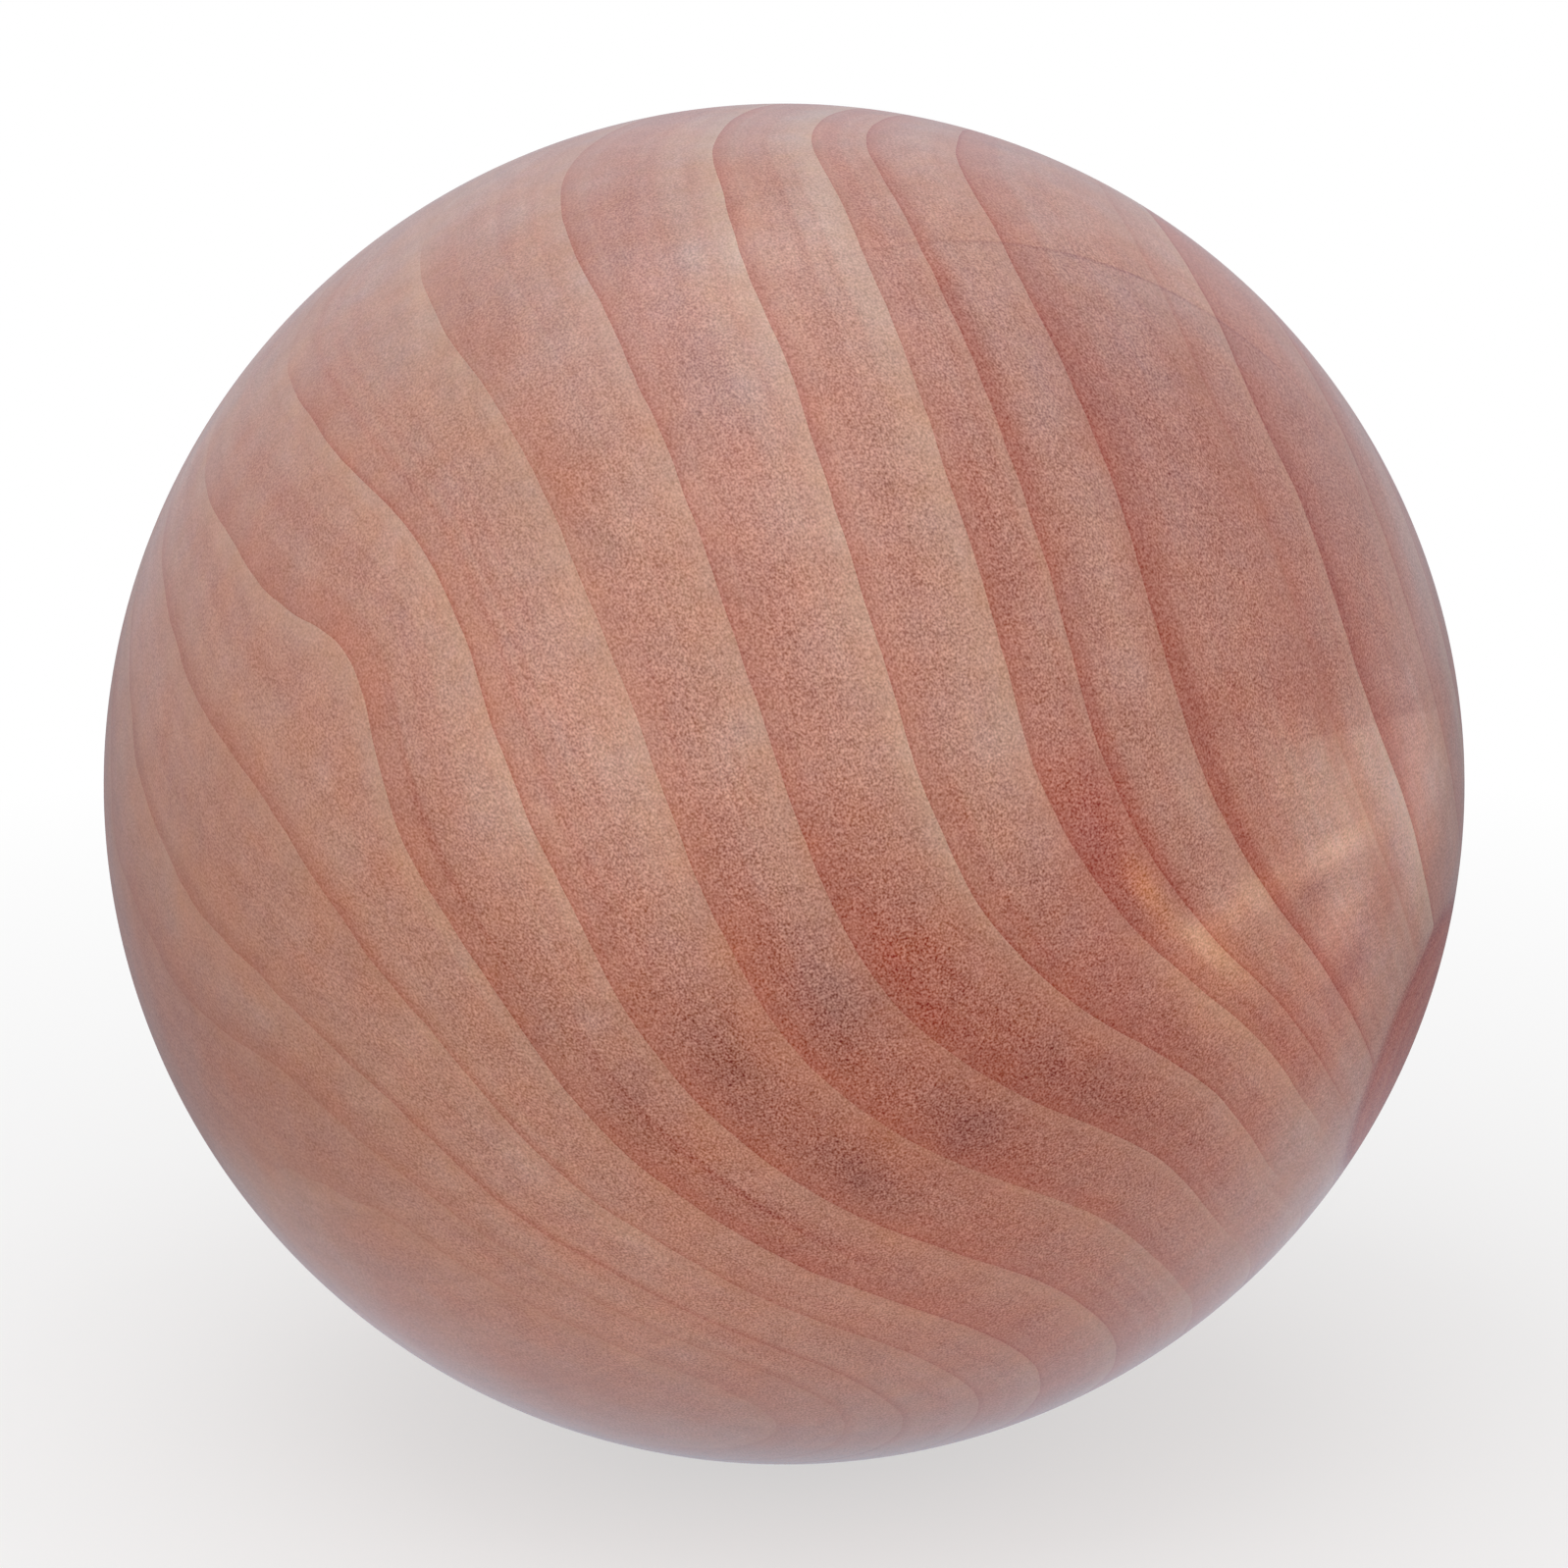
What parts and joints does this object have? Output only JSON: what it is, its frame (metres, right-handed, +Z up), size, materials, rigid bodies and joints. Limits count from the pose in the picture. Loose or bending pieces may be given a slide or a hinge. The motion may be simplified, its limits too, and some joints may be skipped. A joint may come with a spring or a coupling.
{
  "type": "wooden ball",
  "caption": "Plain round ball, turned from one piece of reddish fruitwood and sanded to a satin finish, to hold, roll or set in a ring or cup.",
  "frame": {"origin": "centre of the ball", "axes": "+Z up, as the ball lies in use; a plain ball is the same about every axis through its centre, so +X and +Y only place the figure of the wood"},
  "size_m": [0.05, 0.05, 0.05],
  "materials": {
    "wood": "satin"
  },
  "bodies": {
    "root": {"ball": "wood"}
  },
  "joints": []
}
